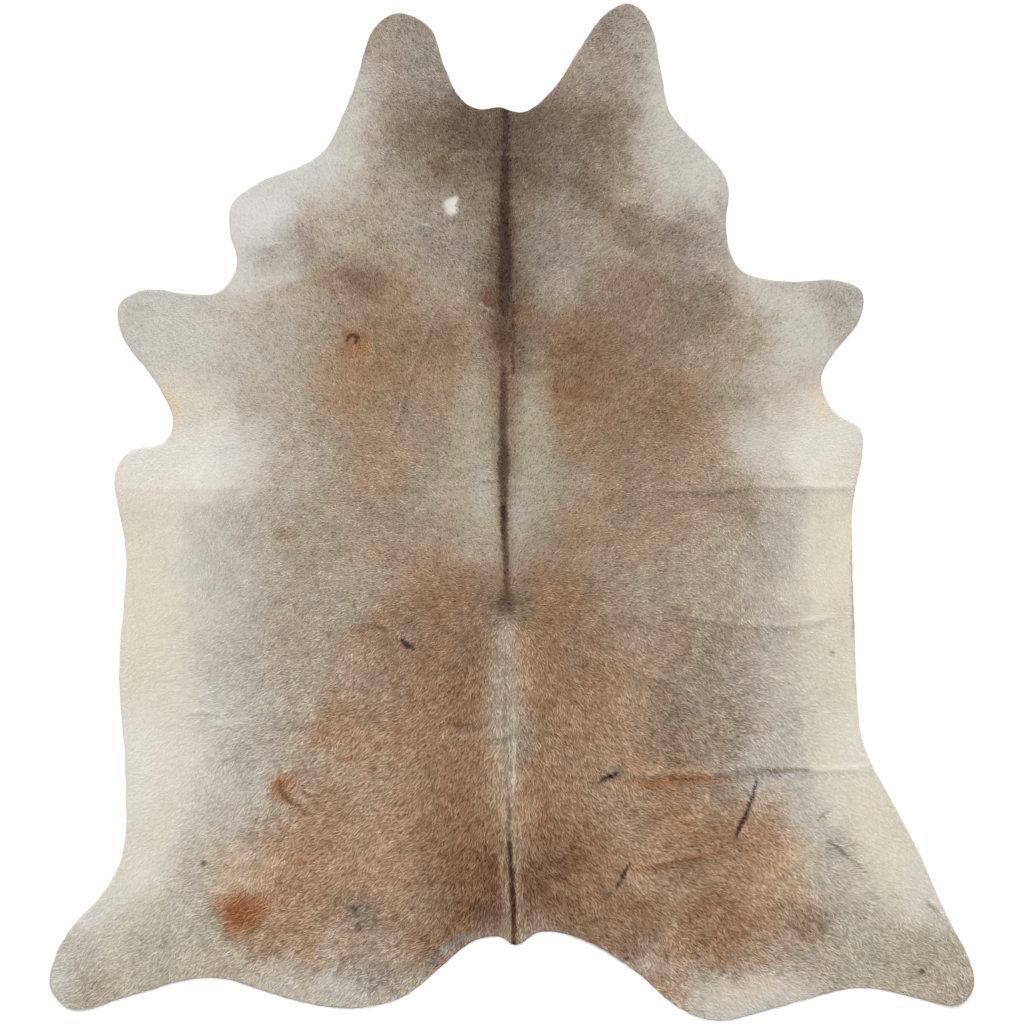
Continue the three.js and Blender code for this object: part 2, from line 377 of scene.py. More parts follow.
# Each row: place, colour, strength, points and, where its edges are soft, True.
STROKES = [Stroke(*row) for row in [
    # the dark stripe along the spine: a soft wide shade, and a darker line in it
    ("neck shade", "bark", 0.55, [(-13, 880, 12), (-14, 796, 18), (-15, 716, 22), (-17, 600, 22)], True),
    ("withers shade", "bark", 0.6, [(-17, 640, 14), (-18, 550, 34), (-18, 457, 36), (-16, 380, 24)], True),
    ("back shade", "umber", 0.45, [
        (-18, 400, 32), (-18, 330, 32), (-19, 230, 30), (-18, 140, 22), (-18, 0, 12), (-12, -180, 8),
    ], True),
    ("neck stripe", "soot", 0.75, [(-13, 880, 4), (-14, 796, 7), (-15, 716, 9), (-17, 600, 10)]),
    ("withers stripe", "soot", 0.85, [
        (-16, 640, 5), (-15, 550, 13), (-15, 496, 14), (-17, 457, 14), (-16, 420, 5),
    ]),
    ("stripe, soft", "bark", 0.55, [(-16, 450, 12), (-22, 390, 18), (-20, 330, 11)], True),
    ("fine line", "mahogany", 0.45, [(2, 452, 2.5), (2, 400, 3.5), (3, 301, 2)]),
    ("thin stripe", "bark", 0.82, [(-17, 312, 4), (-19, 270, 7), (-19, 193, 9)]),
    ("back stripe", "bark", 0.95, [(-19, 205, 6), (-18, 111, 10), (-18, 59, 9), (-18, 14, 7), (-18, -5, 6)]),
    ("loin stripe", "soot", 0.85, [(-18, 10, 5), (-18, -38, 6), (-16, -59, 5)]),
    ("stripe to the whorl", "bark", 0.8, [(-15, -55, 6), (-14, -116, 5), (-10, -187, 6)]),
    # the pale band from the whorl to the tail, and the dark line on the tail
    ("dorsal band, soft", "sand", 0.7, [
        (-12, -235, 18), (-12, -290, 38), (-10, -380, 52), (-8, -500, 52), (-6, -600, 44), (-2, -690, 30),
        (3, -780, 16), (5, -940, 18),
    ], True),
    ("dorsal band", "stone", 0.65, [
        (-12, -270, 12), (-16, -320, 22), (-18, -380, 30), (-18, -450, 33), (-13, -520, 28), (-8, -580, 20),
        (-6, -640, 11),
    ], True),
    ("fine line in the band", "umber", 0.3, [
        (-14, -290, 2), (-16, -380, 2.6), (-15, -470, 3), (-12, -560, 3), (-9, -625, 3),
    ]),
    ("cream line", "cream", 0.4, [(4, -400, 1), (4.5, -440, 1.6), (4, -540, 1.8), (3, -605, 1)]),
    ("tail line, start", "bark", 0.55, [(-9, -617, 2.6), (-7, -690, 4), (-5, -735, 5)]),
    ("tail line", "mahogany", 0.97, [
        (-6, -715, 4), (-3, -765, 5), (1, -817, 6), (4.5, -882, 5), (5, -945, 5),
    ]),
    ("tail fringe, left", "fawn", 0.65, [(-26, -700, 4), (-24, -760, 7), (-12, -860, 6), (-16, -945, 12)]),
    ("tail fringe, right", "fawn", 0.65, [(12, -700, 4), (14, -760, 6), (17, -860, 6), (24, -945, 12)]),
    # streaks round the whorl
    ("whorl streak, left", "bark", 0.4, [(-12, -195, 4), (-36, -200, 3), (-58, -206, 2)], True),
    ("whorl streak, right", "bark", 0.4, [(-8, -200, 4), (17, -193, 3), (44, -188, 2)], True),
    # scratches and healed scars
    ("neck scratch", "taupe", 0.25, [(-122, 771, 1.2), (-60, 776, 2.2), (20, 774, 2.0), (105, 777, 1.2)]),
    ("white spot", "ivory", 1.0, [(-131, 653, 12), (-134, 664, 13), (-121, 674, 6)]),
    ("fine neck scratch", "pearl", 0.35, [(18, 720, 0.8), (31, 705, 0.8)]),
    ("fine withers scratch", "pearl", 0.45, [(-202, 627, 0.8), (-188, 620, 1.2), (-178, 619, 0.8)]),
    ("scratch on the rust", "pearl", 0.45, [(-69, 449, 0.8), (-54, 439, 1.4), (-40, 431, 0.8)]),
    ("old scar", "mahogany", 0.8, [
        (-355, 371, 2), (-350, 381, 3), (-340, 383, 3), (-333, 375, 3.4), (-338, 366, 2),
    ]),
    ("long scratch", "umber", 0.35, [
        (-161, 435, 1.5), (-186, 350, 2.4), (-214, 300, 2.2), (-240, 205, 2.4), (-262, 154, 1.5),
    ]),
    ("long scratch, pale side", "ash", 0.25, [(-166, 436, 1.5), (-219, 301, 2), (-267, 155, 1.5)]),
    ("faint scratch, right", "stone", 0.3, [(278, 392, 2), (300, 440, 3), (321, 478, 2)]),
    ("tick by the spine", "soot", 0.25, [(-66, 64, 2), (-48, 63, 3), (-31, 64, 2)]),
    ("ginger mark, dark tail", "umber", 0.8, [
        (-504, -597, 4), (-486, -622, 6), (-461, -634, 6), (-446, -655, 3),
    ]),
    ("ginger mark, tail", "umber", 0.6, [(-452, -591, 3), (-446, -610, 4), (-425, -613, 3)]),
    ("haunch scratch", "pitch", 1.0, [
        (530, -575, 0.8), (525, -591, 1.5), (516, -624, 2.1), (501, -663, 3.1), (490, -682, 2.4),
        (484, -703, 0.8),
    ]),
    ("rump scratch", "pitch", 0.75, [
        (254, -760, 1.4), (242, -781, 2.8), (233, -800, 2.4), (222, -818, 1.2),
    ]),
    ("smudge, its dark core", "pitch", 0.8, [(188, -583, 2), (201, -576, 5), (224, -564, 4)]),
    ("fleck, left loin", "walnut", 0.7, [(-306, -242, 1.5), (-290, -248, 3), (-275, -254, 4)]),
    ("fleck, nearer the spine", "pitch", 0.75, [(-240, -278, 2), (-226, -287, 5), (-211, -296, 2)]),
    ("healed scar, left rump", "umber", 0.55, [
        (-150, -445, 2), (-118, -462, 4), (-92, -458, 3), (-61, -474, 2),
    ]),
    ("healed scar, short", "stone", 0.45, [(-128, -480, 2), (-104, -488, 3.4), (-88, -483, 2)]),
    ("healed scar, right thigh", "umber", 0.55, [
        (598, -890, 2), (622, -902, 4.6), (631, -921, 3), (654, -926, 2),
    ]),
    ("healed scar, thin", "sand", 0.55, [(640, -884, 2), (658, -896, 3), (664, -912, 2)]),
    ("rim sliver", "slate", 0.85, [(-100, -912, 3), (-122, -930, 9), (-150, -950, 12), (-180, -975, 6)]),
    ("rim sliver, pale edge", "pearl", 0.2, [(-150, -944, 2), (-132, -954, 3.2), (-114, -966, 2)]),
    ("left belly, crisp edge", "cream", 0.5, [
        (-760, 30, 30), (-752, -60, 44), (-758, -170, 36), (-738, -240, 50), (-742, -330, 44),
        (-734, -420, 50), (-730, -520, 50), (-742, -620, 44), (-770, -700, 30),
    ]),
    ("right belly, crisp edge", "cream", 0.55, [
        (672, 60, 26), (668, -30, 44), (680, -150, 30), (672, -240, 34), (668, -340, 50), (674, -420, 46),
        (676, -520, 52), (694, -600, 30),
    ]),
    ("rump fringe, left", "taupe", 0.5, [
        (-14, -922, 8), (-46, -914, 9), (-90, -918, 9), (-133, -940, 11), (-165, -970, 10),
        (-187, -1000, 7),
    ], True),
    ("rump fringe, right", "taupe", 0.4, [
        (18, -918, 7), (62, -905, 8), (126, -912, 8), (180, -944, 9), (224, -984, 7),
    ], True),
    # Painted shade below the rear fold and the haunch wrinkle: darker rust and grey bands under their ridges.
    ("rust under the rear fold", "rust", 0.55, [
        (280, -588, 7), (330, -583, 14), (365, -578, 16), (420, -574, 12), (468, -570, 8),
    ], True),
    ("grey under the rear fold", "slate", 0.75, [
        (440, -568, 5), (500, -562, 8), (542, -559, 7), (640, -556, 3),
    ], True),
    ("under the haunch wrinkle", "rust", 0.5, [
        (257, -775, 3), (306, -767, 5), (342, -758, 5), (400, -746, 5), (445, -737, 3),
    ], True),
    ("thigh streak, first", "slate", 0.5, [(660, -668, 1.2), (670, -656, 3), (681, -645, 1.2)]),
    ("thigh streak, upper", "slate", 0.55, [(680, -709, 1.2), (700, -721, 3.4), (724, -740, 1.5)]),
    ("thigh streak, lower", "slate", 0.45, [(712, -738, 1.2), (736, -753, 3.4), (762, -776, 1.5)]),
    # Painted shadow: a thin dark line along the right belly's rim.
    ("rim shade, right belly", "taupe", 0.6, [(734, -85, 2), (737, -170, 4), (736, -269, 2)]),
    # Painted shade: a dark line along the hind leg's crease.
    ("rim crease, hind leg", "taupe", 0.6, [(893, -839, 2), (912, -856, 4), (926, -872, 2)]),
]]


class Crease(NamedTuple):
    """One crease of the leather, in millimetres: a ridge of this height beside a narrower trough below it."""

    place: str
    height: float
    half_width: float
    path: list


CREASES = [Crease(*row) for row in [
    ("front fold, right", 1.1, 9, [
        (277, 49), (364, 46), (429, 44), (493, 52), (528, 55), (599, 52), (636, 55), (671, 52), (745, 55),
    ]),
    ("front fold, left", 0.35, 7, [(-870, 53), (-700, 50), (-560, 54), (-380, 51)]),
    ("front fold, middle", 0.3, 7, [(-400, 51), (-250, 54), (-60, 58), (90, 56), (280, 50)]),
    ("rear fold, right", 1.3, 9, [(170, -571), (330, -566), (470, -570), (600, -561), (790, -552)]),
    ("flank wrinkle, upper", 1.1, 9, [
        (349, -221), (403, -230), (478, -241), (586, -247), (636, -239), (701, -226),
    ]),
    ("flank wrinkle, long", 0.9, 11, [
        (278, -355), (332, -366), (386, -394), (420, -433), (450, -450), (478, -481),
    ]),
    ("flank wrinkle, short", 0.8, 9, [(528, -349), (560, -360), (599, -366)]),
    ("flank wrinkle, lower", 0.8, 9, [(571, -429), (627, -418), (653, -409)]),
    ("left flank crease", 0.9, 7, [(-707, -433), (-660, -431), (-612, -440)]),
    ("left flank, second", 1.0, 8, [(-658, -457), (-610, -461), (-563, -457)]),
    ("left flank, third", 1.0, 8, [(-647, -541), (-620, -532), (-589, -517)]),
    ("haunch wrinkle", 1.0, 10, [(252, -772), (353, -751), (462, -731)]),
    ("hind leg crease", 1.2, 8, [(893, -839), (912, -856), (930, -878)]),
]]


def soft_step(value):
    """Goes smoothly from 0 to 1 as value does."""
    value = np.clip(value, 0, 1)
    return value * value * (3 - 2 * value)


def blend(start, end, share):
    return start + (end - start) * share


def table_value(table, place):
    """The value at a place between the rows of a table of places and values."""
    return np.interp(place, *zip(*table))


def cloud(x, y, pitch, seed, octaves=1):
    """Seeded cloudy unevenness between about -1 and 1, with finer clouds in each further octave."""
    total = np.zeros(len(x))
    weight = 1.0
    reach = 0.0
    for octave in range(octaves):
        grid = np.random.default_rng(seed + 1000 * octave).uniform(-1, 1, (CLOUD_CELLS, CLOUD_CELLS))
        turn = 0.5 + octave
        across = (x * math.cos(turn) + y * math.sin(turn)) / pitch + CLOUD_SHIFT
        along = (y * math.cos(turn) - x * math.sin(turn)) / pitch + CLOUD_SHIFT
        column = np.floor(across).astype(int)
        row = np.floor(along).astype(int)
        right = soft_step(across - column)
        up = soft_step(along - row)
        corner = [grid[(row + r) % CLOUD_CELLS, (column + c) % CLOUD_CELLS] for r in (0, 1) for c in (0, 1)]
        total += weight * blend(blend(corner[0], corner[1], right), blend(corner[2], corner[3], right), up)
        reach += weight * weight
        weight *= CLOUD_FAINTER
        pitch /= CLOUD_FINER
    return total * CLOUD_STRENGTH / math.sqrt(reach)


def near_path(x, y, path, reach):
    """The points within reach of a path, their distance from it, their signed side and their place along it.

    The place is a row's number plus the share of the way to the next row. The side is positive on the
    path's left.
    """
    path = np.array([row[:2] for row in path], float)
    low = path.min(axis=0) - reach
    high = path.max(axis=0) + reach
    near = np.flatnonzero((x > low[0]) & (x < high[0]) & (y > low[1]) & (y < high[1]))
    distance = np.full(len(near), 1e9)
    side = np.zeros(len(near))
    place = np.zeros(len(near))
    for index in range(len(path) - 1):
        start = path[index]
        step = path[index + 1] - start
        dx = x[near] - start[0]
        dy = y[near] - start[1]
        share = np.clip((dx * step[0] + dy * step[1]) / (step @ step), 0, 1)
        gap = np.hypot(dx - share * step[0], dy - share * step[1])
        closer = gap < distance
        distance[closer] = gap[closer]
        side[closer] = np.sign(step[0] * dy - step[1] * dx)[closer]
        place[closer] = (index + share)[closer]
    return near, distance, side, place


def coat_colour(x, y):
    """The coat's colour at points in millimetres, 0 to 255, from its markings and strokes."""
    colour = np.tile(np.array(PALETTE[BASE_COLOUR], float), (len(x), 1))
    warp_x = x + EDGE_WANDER * cloud(x, y, EDGE_WANDER_PITCH, 3, 5)
    warp_y = y + EDGE_WANDER * cloud(x, y, EDGE_WANDER_PITCH, 5, 5)
    for mark in MARKINGS:
        # Small spots stay close to where they are placed, and broad markings have wandering edges.
        loose = min(1.0, max(LEAST_WANDER, (mark.wide - FIRM_WIDTH) / (LOOSE_WIDTH - FIRM_WIDTH)))
        turn = math.radians(mark.turn)
        dx = blend(x, warp_x, loose) - mark.x
        dy = blend(y, warp_y, loose) - mark.y
        across = (dx * math.cos(turn) + dy * math.sin(turn)) / mark.wide
        along = (dy * math.cos(turn) - dx * math.sin(turn)) / mark.long
        fade = soft_step(1 - (np.hypot(across, along) - MARK_FULL) / MARK_FADE) * mark.strength
        colour += (np.array(PALETTE[mark.colour]) - colour) * fade[:, None]
    ragged_x = x + LINE_WANDER * cloud(x, y, LINE_WANDER_PITCH, 7, 2)
    ragged_y = y + LINE_WANDER * cloud(x, y, LINE_WANDER_PITCH, 9, 2)
    for stroke in STROKES:
        widths = [row[2] for row in stroke.path]
        near, distance, side, place = near_path(ragged_x, ragged_y, stroke.path, 2.2 * max(widths) + 3)
        half = np.interp(place, range(len(widths)), widths)
        nearness = distance / (half + 1)
        fade = np.exp(-0.9 * nearness ** 2) if stroke.soft else soft_step(1.5 - nearness)
        fade *= stroke.strength
        colour[near] += (np.array(PALETTE[stroke.colour]) - colour[near]) * fade[:, None]
    # Painted light and shade along a crease: the coat is painted pale above the ridge and dark below it.
    for crease in CREASES:
        near, distance, side, place = near_path(x, y, crease.path, 3 * crease.half_width)
        ends = soft_step(3 * np.minimum(place, len(crease.path) - 1 - place))
        facing = side * np.exp(-((distance / crease.half_width - 0.8) ** 2) / 0.6) * ends
        colour[near] *= (1 + CREASE_PAINTED_SHADING * crease.height * facing)[:, None]
    # The dark coat is mottled, and the white is nearly even.
    depth = table_value(COAT_DEPTH, colour.mean(axis=1))
    mottle = MOTTLE * cloud(x, y, MOTTLE_PITCH, 21, 3) + FINE_MOTTLE * cloud(x, y, FINE_MOTTLE_PITCH, 23, 2)
    brown = table_value(BROWNNESS, colour[:, 0] - colour[:, 2])
    warmth = WARMTH * cloud(x, y, WARMTH_PITCH, 24, 4) * brown
    colour += (depth * mottle)[:, None] + (depth * warmth)[:, None] * np.array(WARM_SHIFT)
    return np.clip(colour, DARKEST_LEVEL, LIGHTEST_COAT)


def to_linear(colour):
    """Turns 0 to 255 display colours into the linear ones that Blender's shaders take."""
    share = colour / 255
    return np.where(share <= 0.04045, share / 12.92, ((share + 0.055) / 1.055) ** 2.4)


def to_display(linear):
    """Turns linear colours back into 0 to 255 display ones."""
    return 255 * np.where(linear <= 0.0031308, linear * 12.92, 1.055 * linear ** (1 / 2.4) - 0.055)


def coat_reflectance(colour):
    """How much light the hair has to reflect to look like this colour, with its own fine shadows."""
    lightness = colour.mean(axis=1)
    linear = to_linear(colour)
    grey = linear.mean(axis=1, keepdims=True)
    linear = blend(grey, linear, table_value(COAT_VIVIDNESS, lightness)[:, None])
    return linear * table_value(COAT_GAIN, lightness)[:, None]


def coat_contrast(colour):
    """How much single hairs differ in lightness, out of 255: much in the dark, and little in the white."""
    return table_value(HAIR_CONTRAST, colour.mean(axis=1))


def shaded(reflectance, levels):
    """Makes linear colours lighter or darker by so many display levels, alike in all three."""
    return to_linear(np.clip(to_display(reflectance) + levels[:, None], DARKEST_LEVEL, LIGHTEST_HAIR))


# The hide's surface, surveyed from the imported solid.
def solid_mesh(node):
    """The node's corner points in millimetres, and its triangles."""
    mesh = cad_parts[node].data
    mesh.calc_loop_triangles()
    points = np.empty(len(mesh.vertices) * 3)
    mesh.vertices.foreach_get("co", points)
    triangles = np.empty(len(mesh.loop_triangles) * 3, int)
    mesh.loop_triangles.foreach_get("vertices", triangles)
    return points.reshape(-1, 3) / MM, triangles.reshape(-1, 3)


def rim_of(points, triangles):
    """The outline of the solid's upper face, as one closed loop of x and y in millimetres."""
    corners = points[triangles]
    normals = np.cross(corners[:, 1] - corners[:, 0], corners[:, 2] - corners[:, 0])
    flat = normals[:, 2] > 0.5 * np.linalg.norm(normals, axis=1)
    following = {}
    for corner in np.round(corners[flat][:, :, :2], 2):
        ring = [tuple(place) for place in corner]
        for start, end in zip(ring, ring[1:] + ring[:1]):
            if following.get(end) and start in following[end]:
                following[end].remove(start)
            else:
                following.setdefault(start, []).append(end)
    following = {start: ends[0] for start, ends in following.items() if ends}
    first = min(following)
    loop = [first]
    while following[loop[-1]] != first:
        loop.append(following[loop[-1]])
    return np.array(loop)


def outward_of(rim):
    """The way straight out of the hide at each point of its rim."""
    tangent = np.roll(rim, -1, axis=0) - np.roll(rim, 1, axis=0)
    return np.column_stack([tangent[:, 1], -tangent[:, 0]]) / np.hypot(*tangent.T)[:, None]


def smooth_rim(loop):
    """The outline with soft bends, a point every RIM_STEP, a little inside the cut edge and slightly wavy."""
    closed = np.vstack([loop, loop[:1]])
    run = np.concatenate([[0], np.cumsum(np.hypot(*np.diff(closed, axis=0).T))])
    count = int(run[-1] / RIM_STEP)
    places = np.linspace(0, run[-1], count, endpoint=False)
    rim = np.column_stack([np.interp(places, run, closed[:, axis]) for axis in (0, 1)])
    offsets = np.arange(-RIM_WINDOW, RIM_WINDOW + 1)
    weights = np.exp(-((offsets * RIM_STEP / RIM_SMOOTHING) ** 2) / 2)
    weights /= weights.sum()
    rim = sum(weight * np.roll(rim, shift, axis=0) for weight, shift in zip(weights, offsets))
    wave = RIM_WAVINESS * cloud(*rim.T, RIM_WAVE_PITCH, 31, 2)
    return rim - outward_of(rim) * (RIM_INSET + wave)[:, None]


def inside(rim, x, y):
    """Which points lie inside the rim, worked out edge by edge over points sorted by y."""
    order = np.argsort(y)
    sorted_y = y[order]
    sorted_x = x[order]
    odd = np.zeros(len(x), bool)
    for start, end in zip(rim, np.roll(rim, -1, axis=0)):
        if start[1] > end[1]:
            start, end = end, start
        first, last = np.searchsorted(sorted_y, (start[1], end[1]))
        if first < last:
            share = (sorted_y[first:last] - start[1]) / (end[1] - start[1])
            odd[first:last] ^= sorted_x[first:last] < start[0] + share * (end[0] - start[0])
    result = np.empty(len(x), bool)
    result[order] = odd
    return result


class Survey:
    """Heights of the solid's underside and its thickness on a square grid, softened a little."""

    def __init__(self, points, triangles):
        tree = BVHTree.FromPolygons([Vector(place) for place in points], triangles.tolist())
        low = points.min(axis=0) - 2 * SURVEY_PITCH
        high = points.max(axis=0) + 2 * SURVEY_PITCH
        self.low = low
        self.columns = int((high[0] - low[0]) / SURVEY_PITCH) + 1
        self.rows = int((high[1] - low[1]) / SURVEY_PITCH) + 1
        under = np.full((self.rows, self.columns), np.nan)
        over = under.copy()
        for row in range(self.rows):
            for column in range(self.columns):
                x = low[0] + column * SURVEY_PITCH
                y = low[1] + row * SURVEY_PITCH
                hit = tree.ray_cast(Vector((x, y, low[2] - SURVEY_CLEARANCE)), Vector((0, 0, 1)))[0]
                if hit:
                    under[row, column] = hit.z
                    above = Vector((x, y, high[2] + SURVEY_CLEARANCE))
                    over[row, column] = tree.ray_cast(above, Vector((0, 0, -1)))[0].z
        self.under = self.soften(self.fill(under))
        self.thickness = self.soften(self.fill(over - under))

    @staticmethod
    def neighbours(grid):
        padded = np.pad(grid, 1, mode="edge")
        shifts = [(0, 1), (2, 1), (1, 0), (1, 2)]
        return np.array([padded[r:r + grid.shape[0], c:c + grid.shape[1]] for r, c in shifts])

    def fill(self, grid):
        """Gives each empty place the mean of its filled neighbours, ring by ring."""
        while np.isnan(grid).any():
            around = self.neighbours(grid)
            known = ~np.isnan(around)
            total = np.where(known, around, 0).sum(axis=0)
            mean = total / np.maximum(known.sum(axis=0), 1)
            grow = np.isnan(grid) & known.any(axis=0)
            grid = np.where(grow, mean, grid)
        return grid

    def soften(self, grid):
        for _ in range(SURVEY_ROUNDS):
            grid = blend(grid, self.neighbours(grid).mean(axis=0), 0.5)
        return grid

    def read(self, grid, x, y):
        column = np.clip((x - self.low[0]) / SURVEY_PITCH, 0, self.columns - 1.001)
        row = np.clip((y - self.low[1]) / SURVEY_PITCH, 0, self.rows - 1.001)
        c = column.astype(int)
        r = row.astype(int)
        across = column - c
        up = row - r
        lower = blend(grid[r, c], grid[r, c + 1], across)
        upper = blend(grid[r + 1, c], grid[r + 1, c + 1], across)
        return blend(lower, upper, up)

    def underside(self, x, y):
        return np.maximum(self.read(self.under, x, y), LOWEST_UNDERSIDE)

    def pile(self, x, y):
        return np.maximum(self.read(self.thickness, x, y) - LEATHER_THICKNESS, 1)


def crease_height(x, y):
    """How far creases lift the leather's hair side, in millimetres."""
    height = np.zeros(len(x))
    for crease in CREASES:
        near, distance, side, place = near_path(x, y, crease.path, 4 * crease.half_width)
        ends = soft_step(2 * np.minimum(place, len(crease.path) - 1 - place))
        across = side * distance / crease.half_width
        ridge = np.exp(-(across ** 2))
        trough = TROUGH_DEPTH * np.exp(-((across + TROUGH_PLACE) ** 2) / 0.7)
        height[near] += crease.height * (ridge - trough) * ends
    return height


def leather_top(survey, x, y):
    """The height of the leather's hair side, in millimetres."""
    ripple = RIPPLE * cloud(x, y, RIPPLE_PITCH, 41, 2)
    return survey.underside(x, y) + LEATHER_THICKNESS + crease_height(x, y) + ripple


# Mesh helpers.
def new_piece(name, points, faces, slots, slot_of_face=None):
    """A smooth-shaded mesh object from points in millimetres and faces of one size."""
    faces = np.asarray(faces)
    count, size = faces.shape
    mesh = bpy.data.meshes.new(name)
    mesh.vertices.add(len(points))
    mesh.vertices.foreach_set("co", (points * MM).ravel())
    mesh.loops.add(count * size)
    mesh.loops.foreach_set("vertex_index", faces.ravel())
    mesh.polygons.add(count)
    mesh.polygons.foreach_set("loop_start", np.arange(0, count * size, size))
    if slot_of_face is not None:
        mesh.polygons.foreach_set("material_index", slot_of_face)
    mesh.polygons.foreach_set("use_smooth", np.ones(count, bool))
    mesh.update(calc_edges=True)
    mesh.validate()
    for material in slots:
        mesh.materials.append(material)
    piece = bpy.data.objects.new(name, mesh)
    bpy.context.scene.collection.objects.link(piece)
    return piece


def paint(piece, name, colours):
    """Stores linear colours on the piece's points."""
    layer = piece.data.color_attributes.new(name, "FLOAT_COLOR", "POINT")
    rgba = np.column_stack([colours, np.ones(len(colours))])
    layer.data.foreach_set("color", rgba.ravel())


def lay_out(piece, corners):
    """Gives the piece a map for baking, from an x and y of 0 to 1 for each face corner."""
    layer = piece.data.uv_layers.new(name="OFBake")
    layer.data.foreach_set("uv", corners.ravel())


# The leather sheet.
def grid_inside(rim, pitch):
    """Points on a staggered grid inside the rim, clear of it by half a step."""
    low = rim.min(axis=0)
    high = rim.max(axis=0)
    rows = []
    for number, y in enumerate(np.arange(low[1], high[1], pitch * ROW_SPACING)):
        x = np.arange(low[0] + (number % 2) * pitch / 2, high[0], pitch)
        rows.append(np.column_stack([x, np.full(len(x), y)]))
    grid = np.vstack(rows)
    keep = inside(rim, grid[:, 0], grid[:, 1])
    for dx, dy in ((1, 0), (-1, 0), (0, 1), (0, -1)):
        keep &= inside(rim, grid[:, 0] + dx * pitch / 2, grid[:, 1] + dy * pitch / 2)
    return grid[keep]


def fill_rim(rim, pitch):
    """Fills the rim with even triangles. The rim's own points come first."""
    places = np.vstack([rim, grid_inside(rim, pitch)])
    count = len(rim)
    edges = [(index, (index + 1) % count) for index in range(count)]
    found = delaunay_2d_cdt(places.tolist(), edges, [], 0, 1e-6, False)
    if len(found[0]) != len(places):
        raise RuntimeError("the outline's points ran together")
    triangles = np.array(found[2])
    middles = places[triangles].mean(axis=1)
    return places, triangles[inside(rim, *middles.T)]


def leather_sheet(survey, rim, materials):
    """One closed sheet of leather: hair side, rounded cut edge and suede underside."""
    upper, upper_faces = fill_rim(rim, TOP_PITCH)
    lower, lower_faces = fill_rim(rim, UNDERSIDE_PITCH)
    count = len(rim)
    top = np.column_stack([upper, leather_top(survey, *upper.T)])
    bottom = np.column_stack([lower, survey.underside(*lower.T)])
    # The cut edge bulges outwards a little, in the middle of its thickness.
    bulge = rim + EDGE_BULGE * outward_of(rim)
    middle = np.column_stack([bulge, (top[:count, 2] + bottom[:count, 2]) / 2])
    points = np.vstack([top, middle, bottom])
    ring = np.arange(count)
    following = np.roll(ring, -1)
    middle_start = len(top)
    bottom_start = middle_start + count
    edge_faces = []
    for low_start, high_start in ((middle_start, 0), (bottom_start, middle_start)):
        low_ring = low_start + ring
        high_next = high_start + following
        edge_faces.append(np.column_stack([low_ring, low_start + following, high_next]))
        edge_faces.append(np.column_stack([low_ring, high_next, high_start + ring]))
    faces = np.vstack([upper_faces, *edge_faces, lower_faces[:, ::-1] + bottom_start])
    slot_of_face = np.concatenate([
        np.zeros(len(upper_faces), int),
        np.ones(4 * count, int),
        np.full(len(lower_faces), 2),
    ])
    piece = new_piece("hide_sheet", points, faces, materials, slot_of_face)
    colour = coat_colour(points[:, 0], points[:, 1])
    # The skin takes the coat's colour, painted darker as shade between the hairs.
    paint(piece, "coat", shaded(coat_reflectance(colour), SKIN_PAINTED_SHADE * coat_contrast(colour)))
    lay_out(piece, sheet_map(points, faces, slot_of_face, rim, bottom_start))
    return piece


def sheet_map(points, faces, slot_of_face, rim, bottom_start):
    """Lays the hair side, the underside and the cut edge out beside each other, from 0 to 1."""
    low = rim.min(axis=0) - 2
    size = (rim.max(axis=0) - low).max() + 4
    half = (points[:, :2] - low) / size * 0.48
    corners = half[faces] + np.array([0.01, 0.01])
    under = slot_of_face == 2
    corners[under] = half[faces[under]] + np.array([0.51, 0.01])
    # The edge is one long strip, cut into rows that lie above the two faces.
    edge = np.flatnonzero(slot_of_face == 1)
    count = len(rim)
    steps = np.arange(len(edge)) % count
    rows = 24
    in_row = math.ceil(count / rows)
    row = steps // in_row
    column = steps % in_row
    cell = 0.98 / in_row
    layer = np.arange(len(edge)) // (2 * count)
    base_x = 0.01 + column * cell
    base_y = 0.52 + row * 0.019 + layer * 0.008
    first_kind = (np.arange(len(edge)) // count) % 2 == 0
    shape = np.where(
        first_kind[:, None, None],
        np.array([(0, 0), (1, 0), (1, 1)]),
        np.array([(0, 0), (1, 1), (0, 1)]),
    )
    corners[edge, :, 0] = base_x[:, None] + shape[:, :, 0] * cell
    corners[edge, :, 1] = base_y[:, None] + shape[:, :, 1] * 0.007
    return corners.reshape(-1, 2)


# The hair.
def hair_heading(x, y):
    """The way that the hair lies, as unit x and y.

    From the whorl on the loin the hair runs back and out. In front of it the hair runs forward along the
    spine and curls outwards and back over the ribs. On the shoulders and neck it runs forward and out.
    """
    from_spine = x - table_value(PARTING, y)
    away = np.abs(from_spine)
    ahead = y - WHORL_Y
    behind_whorl = RUMP_FALL + RUMP_SPINE_FALL * np.exp(-away / RUMP_SPINE_REACH)
    before_whorl = np.minimum(RIB_CURL * away - RIB_FALL, RIB_FALL)
    on_neck = -NECK_FALL - NECK_SPINE_FALL * np.exp(-away / NECK_SPINE_REACH)
    fall = blend(behind_whorl, before_whorl, soft_step((ahead + WHORL_REACH) / (2 * WHORL_REACH)))
    fall = blend(fall, on_neck, soft_step((ahead - NECK_AHEAD) / NECK_BLEND))
    fall += FALL_WANDER * cloud(x, y, FALL_WANDER_PITCH, 51, 4)
    angle = np.radians(fall)
    return np.sign(from_spine + 1e-6) * np.cos(angle), -np.sin(angle)


def hair_roots(rim):
    """Jittered rows of roots inside the rim, closer together on the neck than on the rump."""
    rng = np.random.default_rng(HAIR_SEED)
    low = rim.min(axis=0)
    high = rim.max(axis=0)
    rows = []
    y = low[1]
    while y < high[1]:
        step = blend(RUMP_ROW, NECK_ROW, np.clip((y - RUMP_END_Y) / (NECK_END_Y - RUMP_END_Y), 0, 1))
        x = np.arange(low[0], high[0], step)
        spread = rng.uniform(-0.5, 0.5, (len(x), 2)) * step
        rows.append(np.column_stack([x, np.full(len(x), y)]) + spread)
        y += step
    roots = np.vstack(rows)
    return roots[inside(rim, *roots.T)]


